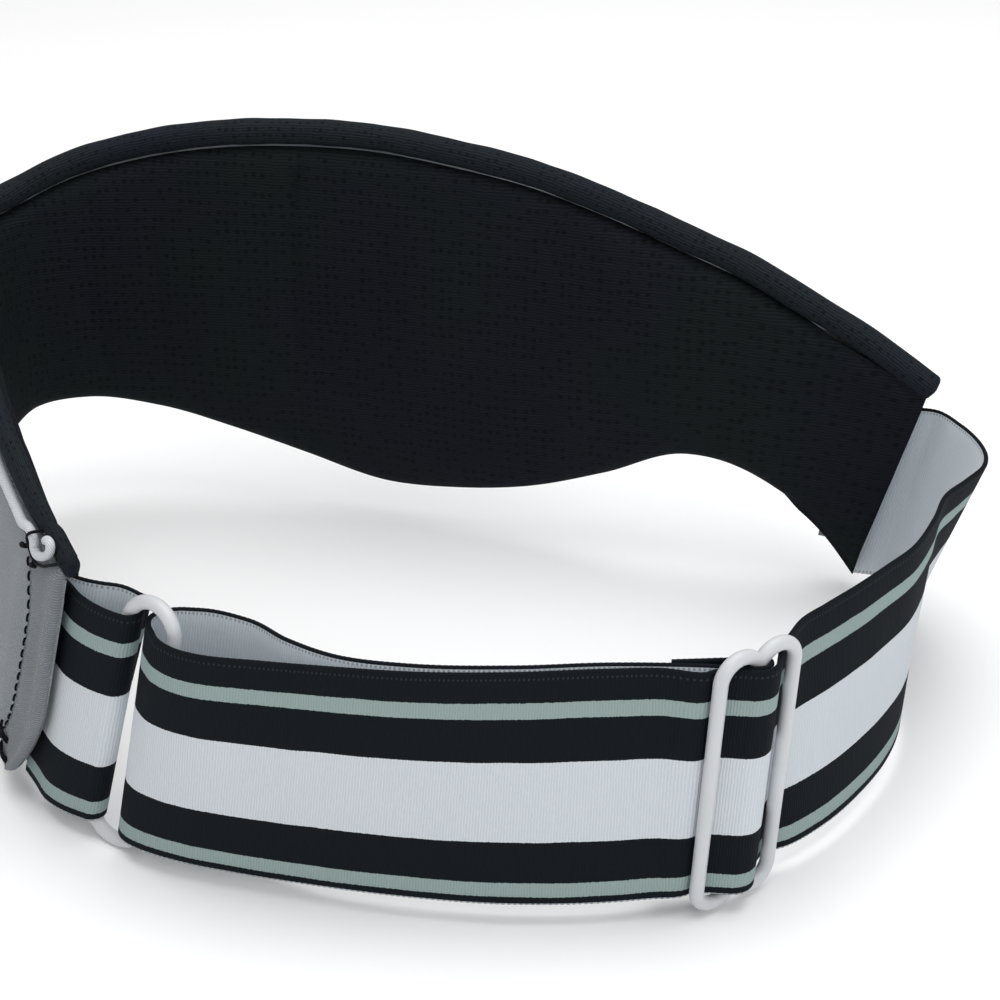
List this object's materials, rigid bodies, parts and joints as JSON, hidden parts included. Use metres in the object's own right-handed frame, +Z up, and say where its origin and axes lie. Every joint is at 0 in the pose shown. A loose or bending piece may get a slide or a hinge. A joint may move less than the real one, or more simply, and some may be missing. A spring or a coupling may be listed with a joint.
{
  "type": "sports headband",
  "caption": "Padded, contoured sports headband with a rolled mesh rim, closed by a striped elastic strap through a wire ring and a figure-of-eight slider.",
  "frame": {"origin": "centre of the bounding box in plan, at the lowest point of the wire slider and ring, where the band stands on a table", "axes": "+Z up, across the band's width; +X along the loop's longer side, from the pad's left turn to the elastic's right bend; +Y from the elastic's front run to the far side of the pad"},
  "size_m": [0.191, 0.1547, 0.083],
  "materials": {
    "lining_mesh": "knitted spacer mesh",
    "rim_mesh": "knitted mesh, rolled",
    "foam": "open-cell foam",
    "cover_knit": "fine ribbed knit",
    "piping": "soft knit over filler",
    "filler_cord": "twisted cotton cord",
    "striped_elastic": "woven elastic with white and grey-green stripes",
    "thread": "twisted sewing thread",
    "coated_wire": "off-white nylon coating"
  },
  "bodies": {
    "root": {"mesh_lining": "lining_mesh", "foam_pad": "foam", "outer_cover": "cover_knit", "top_rim": "rim_mesh", "rim_filler_cord": "filler_cord", "cover_piping": "piping", "left_end_hem": "cover_knit", "right_end_hem": "cover_knit", "left_hem_topstitch": "thread", "right_hem_topstitch": "thread", "corner_tie": "thread", "hem_bartacks": "thread", "left_anchor_seam": "thread", "right_anchor_seam": "thread", "short_strap_loop": "striped_elastic", "strap_front_run": "striped_elastic", "strap_back_run": "striped_elastic", "strap_tail_run": "striped_elastic"},
    "ring": {"wire_ring": "coated_wire", "strap_ring_fold": "striped_elastic"},
    "slider": {"slider_frame": "coated_wire", "slider_centre_bar": "coated_wire", "strap_slider_wave": "striped_elastic", "strap_end_wrap": "striped_elastic", "strap_end_stitches": "thread"}
  },
  "joints": [
    {"name": "ring_swing", "type": "hinge", "parent": "root", "child": "ring", "pos_m": [-0.05253, -0.05184, 0.0034], "axis": [0.2487, -0.0888, 0.9645], "range_deg": [-15, 15]},
    {"name": "slider_travel", "type": "slide", "parent": "root", "child": "slider", "axis": [0.985, 0.1725, 0], "range_m": [-0.035, 0.004], "deforming": ["strap_front_run", "strap_back_run", "strap_tail_run"]}
  ]
}
